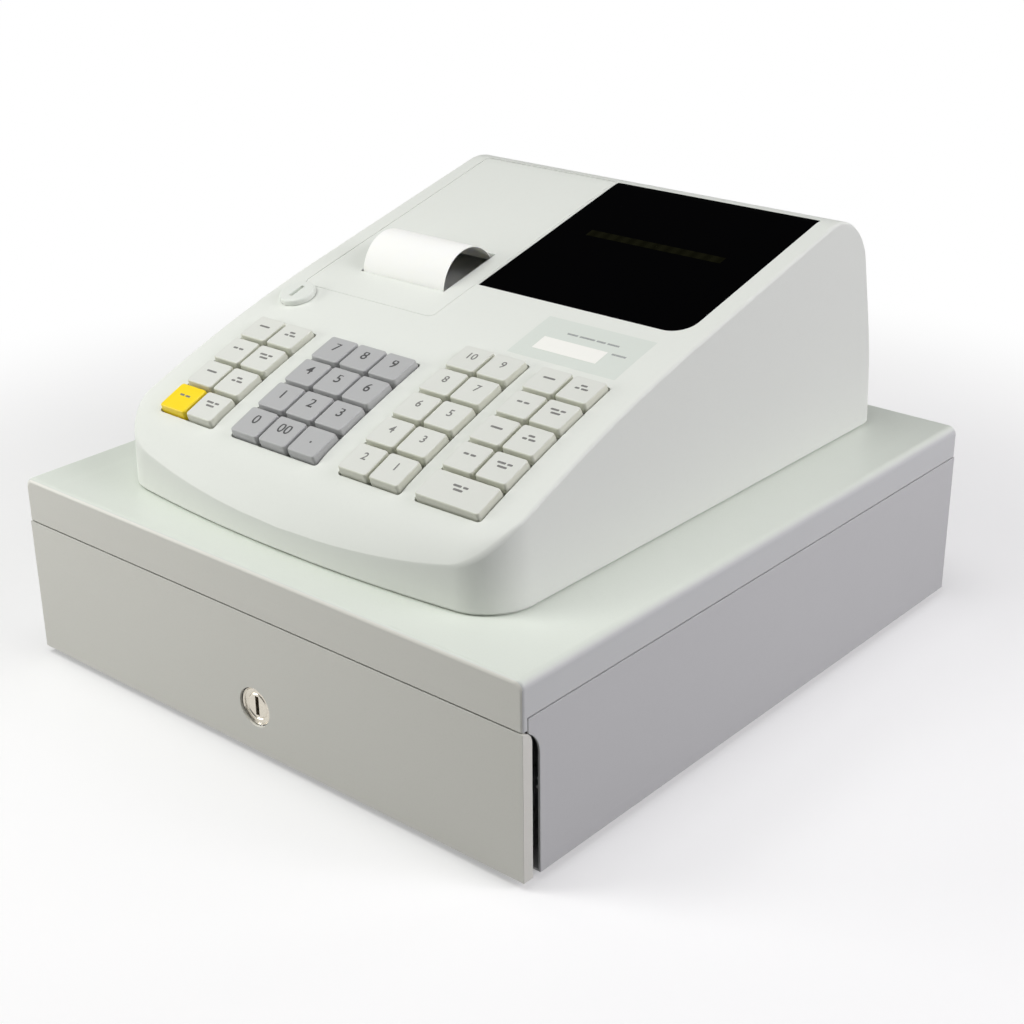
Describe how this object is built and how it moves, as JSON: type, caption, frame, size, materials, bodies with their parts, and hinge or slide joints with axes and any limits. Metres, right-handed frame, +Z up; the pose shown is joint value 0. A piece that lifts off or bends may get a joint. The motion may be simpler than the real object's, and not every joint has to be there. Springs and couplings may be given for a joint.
{
  "type": "ticket register",
  "caption": "Small electronic ticket register with sloping keyboard, dark display window and ticket printer, standing on a wide steel cash drawer.",
  "frame": {"origin": "middle of the object's footprint, on the surface that the rubber feet stand on", "axes": "+X to the customer-facing right as seen from the front, +Y from the drawer front to the back, +Z up"},
  "size_m": [0.33, 0.3594, 0.2164],
  "materials": {
    "drawer_paint": "warm grey powder coat with a fine grain",
    "lid_paint": "pale grey satin paint",
    "zinc_steel": "zinc-plated sheet steel",
    "tray_plastic": "black moulded tray with a fine texture",
    "lock_nickel": "nickel-plated lock cylinder",
    "chassis_plastic": "dark moulded base",
    "case_plastic": "off-white moulded housing with a fine spark texture",
    "window_plastic": "black glossy smoked window",
    "board_resin": "green circuit board",
    "platen_rubber": "ground black rubber",
    "paper": "white ticket paper",
    "lock_plastic": "off-white lock with a dark keyway",
    "foot_rubber": "black rubber",
    "key_white": "white satin key",
    "key_grey": "grey satin key",
    "key_yellow": "yellow satin key"
  },
  "bodies": {
    "register": {"cabinet": "drawer_paint", "lid": "lid_paint", "base_chassis": "chassis_plastic", "upper_case": "case_plastic", "display_window": "window_plastic", "display_board": "board_resin", "main_board": "board_resin", "printer_frame": "zinc_steel", "receipt_paper": "paper", "foot_front_left": "foot_rubber", "foot_front_right": "foot_rubber", "foot_rear_left": "foot_rubber", "foot_rear_right": "foot_rubber"},
    "drawer": {"drawer_front": "drawer_paint", "drawer_box": "zinc_steel", "cash_tray": "tray_plastic"},
    "drawer_lock": {"drawer_lock": "lock_nickel"},
    "printer_cover": {"printer_cover": "case_plastic"},
    "mode_lock": {"mode_lock": "lock_plastic"},
    "platen_roller": {"platen_roller": "platen_rubber"},
    "paper_roll": {"paper_roll": "paper"},
    "key_left_01": {"key_left_01": "key_white"},
    "key_left_02": {"key_left_02": "key_white"},
    "key_left_03": {"key_left_03": "key_white"},
    "key_left_04": {"key_left_04": "key_white"},
    "key_left_05": {"key_left_05": "key_white"},
    "key_left_06": {"key_left_06": "key_white"},
    "key_left_07": {"key_left_07": "key_yellow"},
    "key_left_08": {"key_left_08": "key_white"},
    "key_number_01": {"key_number_01": "key_grey"},
    "key_number_02": {"key_number_02": "key_grey"},
    "key_number_03": {"key_number_03": "key_grey"},
    "key_number_04": {"key_number_04": "key_grey"},
    "key_number_05": {"key_number_05": "key_grey"},
    "key_number_06": {"key_number_06": "key_grey"},
    "key_number_07": {"key_number_07": "key_grey"},
    "key_number_08": {"key_number_08": "key_grey"},
    "key_number_09": {"key_number_09": "key_grey"},
    "key_number_10": {"key_number_10": "key_grey"},
    "key_number_11": {"key_number_11": "key_grey"},
    "key_number_12": {"key_number_12": "key_grey"},
    "key_department_01": {"key_department_01": "key_white"},
    "key_department_02": {"key_department_02": "key_white"},
    "key_department_03": {"key_department_03": "key_white"},
    "key_department_04": {"key_department_04": "key_white"},
    "key_department_05": {"key_department_05": "key_white"},
    "key_department_06": {"key_department_06": "key_white"},
    "key_department_07": {"key_department_07": "key_white"},
    "key_department_08": {"key_department_08": "key_white"},
    "key_department_09": {"key_department_09": "key_white"},
    "key_department_10": {"key_department_10": "key_white"},
    "key_total_01": {"key_total_01": "key_white"},
    "key_total_02": {"key_total_02": "key_white"},
    "key_total_03": {"key_total_03": "key_white"},
    "key_total_04": {"key_total_04": "key_white"},
    "key_total_05": {"key_total_05": "key_white"},
    "key_total_06": {"key_total_06": "key_white"},
    "key_total_07": {"key_total_07": "key_white"},
    "key_total_08": {"key_total_08": "key_white"},
    "key_total_wide": {"key_total_wide": "key_white"}
  },
  "joints": [
    {"name": "drawer_slide", "type": "slide", "parent": "register", "child": "drawer", "axis": [0, -1, 0], "range_m": [0, 0.24]},
    {"name": "drawer_lock_turn", "type": "hinge", "parent": "drawer", "child": "drawer_lock", "pos_m": [0, -0.17855, 0.0277], "axis": [0, -1, 0], "range_deg": [0, 90]},
    {"name": "printer_cover_hinge", "type": "hinge", "parent": "register", "child": "printer_cover", "pos_m": [0, 0.11537, 0.21466], "axis": [-1, 0, 0], "range_deg": [0, 75]},
    {"name": "mode_lock_turn", "type": "hinge", "parent": "register", "child": "mode_lock", "pos_m": [-0.103, -0.04305, 0.1743], "axis": [0, -0.2934, 0.956], "range_deg": [-60, 60]},
    {"name": "platen_spin", "type": "hinge", "parent": "register", "child": "platen_roller", "pos_m": [-0.059, -0.01755, 0.168], "axis": [1, 0, 0], "continuous": true},
    {"name": "paper_roll_spin", "type": "hinge", "parent": "register", "child": "paper_roll", "pos_m": [-0.059, 0.06825, 0.144], "axis": [1, 0, 0], "continuous": true},
    {"name": "key_left_01_press", "type": "slide", "parent": "register", "child": "key_left_01", "axis": [0, 0.3334, -0.9428], "range_m": [0, 0.003], "stiffness_N_per_m": 200, "springref_m": -0.002},
    {"name": "key_left_02_press", "type": "slide", "parent": "register", "child": "key_left_02", "axis": [0, 0.3334, -0.9428], "range_m": [0, 0.003], "stiffness_N_per_m": 200, "springref_m": -0.002},
    {"name": "key_left_03_press", "type": "slide", "parent": "register", "child": "key_left_03", "axis": [0, 0.3566, -0.9343], "range_m": [0, 0.003], "stiffness_N_per_m": 200, "springref_m": -0.002},
    {"name": "key_left_04_press", "type": "slide", "parent": "register", "child": "key_left_04", "axis": [0, 0.3566, -0.9343], "range_m": [0, 0.003], "stiffness_N_per_m": 200, "springref_m": -0.002},
    {"name": "key_left_05_press", "type": "slide", "parent": "register", "child": "key_left_05", "axis": [0, 0.3794, -0.9252], "range_m": [0, 0.003], "stiffness_N_per_m": 200, "springref_m": -0.002},
    {"name": "key_left_06_press", "type": "slide", "parent": "register", "child": "key_left_06", "axis": [0, 0.3794, -0.9252], "range_m": [0, 0.003], "stiffness_N_per_m": 200, "springref_m": -0.002},
    {"name": "key_left_07_press", "type": "slide", "parent": "register", "child": "key_left_07", "axis": [0, 0.4021, -0.9156], "range_m": [0, 0.003], "stiffness_N_per_m": 200, "springref_m": -0.002},
    {"name": "key_left_08_press", "type": "slide", "parent": "register", "child": "key_left_08", "axis": [0, 0.4021, -0.9156], "range_m": [0, 0.003], "stiffness_N_per_m": 200, "springref_m": -0.002},
    {"name": "key_number_01_press", "type": "slide", "parent": "register", "child": "key_number_01", "axis": [0, 0.3334, -0.9428], "range_m": [0, 0.003], "stiffness_N_per_m": 200, "springref_m": -0.002},
    {"name": "key_number_02_press", "type": "slide", "parent": "register", "child": "key_number_02", "axis": [0, 0.3334, -0.9428], "range_m": [0, 0.003], "stiffness_N_per_m": 200, "springref_m": -0.002},
    {"name": "key_number_03_press", "type": "slide", "parent": "register", "child": "key_number_03", "axis": [0, 0.3334, -0.9428], "range_m": [0, 0.003], "stiffness_N_per_m": 200, "springref_m": -0.002},
    {"name": "key_number_04_press", "type": "slide", "parent": "register", "child": "key_number_04", "axis": [0, 0.3566, -0.9343], "range_m": [0, 0.003], "stiffness_N_per_m": 200, "springref_m": -0.002},
    {"name": "key_number_05_press", "type": "slide", "parent": "register", "child": "key_number_05", "axis": [0, 0.3566, -0.9343], "range_m": [0, 0.003], "stiffness_N_per_m": 200, "springref_m": -0.002},
    {"name": "key_number_06_press", "type": "slide", "parent": "register", "child": "key_number_06", "axis": [0, 0.3566, -0.9343], "range_m": [0, 0.003], "stiffness_N_per_m": 200, "springref_m": -0.002},
    {"name": "key_number_07_press", "type": "slide", "parent": "register", "child": "key_number_07", "axis": [0, 0.3794, -0.9252], "range_m": [0, 0.003], "stiffness_N_per_m": 200, "springref_m": -0.002},
    {"name": "key_number_08_press", "type": "slide", "parent": "register", "child": "key_number_08", "axis": [0, 0.3794, -0.9252], "range_m": [0, 0.003], "stiffness_N_per_m": 200, "springref_m": -0.002},
    {"name": "key_number_09_press", "type": "slide", "parent": "register", "child": "key_number_09", "axis": [0, 0.3794, -0.9252], "range_m": [0, 0.003], "stiffness_N_per_m": 200, "springref_m": -0.002},
    {"name": "key_number_10_press", "type": "slide", "parent": "register", "child": "key_number_10", "axis": [0, 0.4021, -0.9156], "range_m": [0, 0.003], "stiffness_N_per_m": 200, "springref_m": -0.002},
    {"name": "key_number_11_press", "type": "slide", "parent": "register", "child": "key_number_11", "axis": [0, 0.4021, -0.9156], "range_m": [0, 0.003], "stiffness_N_per_m": 200, "springref_m": -0.002},
    {"name": "key_number_12_press", "type": "slide", "parent": "register", "child": "key_number_12", "axis": [0, 0.4021, -0.9156], "range_m": [0, 0.003], "stiffness_N_per_m": 200, "springref_m": -0.002},
    {"name": "key_department_01_press", "type": "slide", "parent": "register", "child": "key_department_01", "axis": [0, 0.3101, -0.9507], "range_m": [0, 0.003], "stiffness_N_per_m": 200, "springref_m": -0.002},
    {"name": "key_department_02_press", "type": "slide", "parent": "register", "child": "key_department_02", "axis": [0, 0.3101, -0.9507], "range_m": [0, 0.003], "stiffness_N_per_m": 200, "springref_m": -0.002},
    {"name": "key_department_03_press", "type": "slide", "parent": "register", "child": "key_department_03", "axis": [0, 0.3334, -0.9428], "range_m": [0, 0.003], "stiffness_N_per_m": 200, "springref_m": -0.002},
    {"name": "key_department_04_press", "type": "slide", "parent": "register", "child": "key_department_04", "axis": [0, 0.3334, -0.9428], "range_m": [0, 0.003], "stiffness_N_per_m": 200, "springref_m": -0.002},
    {"name": "key_department_05_press", "type": "slide", "parent": "register", "child": "key_department_05", "axis": [0, 0.3566, -0.9343], "range_m": [0, 0.003], "stiffness_N_per_m": 200, "springref_m": -0.002},
    {"name": "key_department_06_press", "type": "slide", "parent": "register", "child": "key_department_06", "axis": [0, 0.3566, -0.9343], "range_m": [0, 0.003], "stiffness_N_per_m": 200, "springref_m": -0.002},
    {"name": "key_department_07_press", "type": "slide", "parent": "register", "child": "key_department_07", "axis": [0, 0.3794, -0.9252], "range_m": [0, 0.003], "stiffness_N_per_m": 200, "springref_m": -0.002},
    {"name": "key_department_08_press", "type": "slide", "parent": "register", "child": "key_department_08", "axis": [0, 0.3794, -0.9252], "range_m": [0, 0.003], "stiffness_N_per_m": 200, "springref_m": -0.002},
    {"name": "key_department_09_press", "type": "slide", "parent": "register", "child": "key_department_09", "axis": [0, 0.4021, -0.9156], "range_m": [0, 0.003], "stiffness_N_per_m": 200, "springref_m": -0.002},
    {"name": "key_department_10_press", "type": "slide", "parent": "register", "child": "key_department_10", "axis": [0, 0.4021, -0.9156], "range_m": [0, 0.003], "stiffness_N_per_m": 200, "springref_m": -0.002},
    {"name": "key_total_01_press", "type": "slide", "parent": "register", "child": "key_total_01", "axis": [0, 0.3101, -0.9507], "range_m": [0, 0.003], "stiffness_N_per_m": 200, "springref_m": -0.002},
    {"name": "key_total_02_press", "type": "slide", "parent": "register", "child": "key_total_02", "axis": [0, 0.3101, -0.9507], "range_m": [0, 0.003], "stiffness_N_per_m": 200, "springref_m": -0.002},
    {"name": "key_total_03_press", "type": "slide", "parent": "register", "child": "key_total_03", "axis": [0, 0.3334, -0.9428], "range_m": [0, 0.003], "stiffness_N_per_m": 200, "springref_m": -0.002},
    {"name": "key_total_04_press", "type": "slide", "parent": "register", "child": "key_total_04", "axis": [0, 0.3334, -0.9428], "range_m": [0, 0.003], "stiffness_N_per_m": 200, "springref_m": -0.002},
    {"name": "key_total_05_press", "type": "slide", "parent": "register", "child": "key_total_05", "axis": [0, 0.3566, -0.9343], "range_m": [0, 0.003], "stiffness_N_per_m": 200, "springref_m": -0.002},
    {"name": "key_total_06_press", "type": "slide", "parent": "register", "child": "key_total_06", "axis": [0, 0.3566, -0.9343], "range_m": [0, 0.003], "stiffness_N_per_m": 200, "springref_m": -0.002},
    {"name": "key_total_07_press", "type": "slide", "parent": "register", "child": "key_total_07", "axis": [0, 0.3794, -0.9252], "range_m": [0, 0.003], "stiffness_N_per_m": 200, "springref_m": -0.002},
    {"name": "key_total_08_press", "type": "slide", "parent": "register", "child": "key_total_08", "axis": [0, 0.3794, -0.9252], "range_m": [0, 0.003], "stiffness_N_per_m": 200, "springref_m": -0.002},
    {"name": "key_total_wide_press", "type": "slide", "parent": "register", "child": "key_total_wide", "axis": [0, 0.4021, -0.9156], "range_m": [0, 0.003], "stiffness_N_per_m": 200, "springref_m": -0.002}
  ]
}
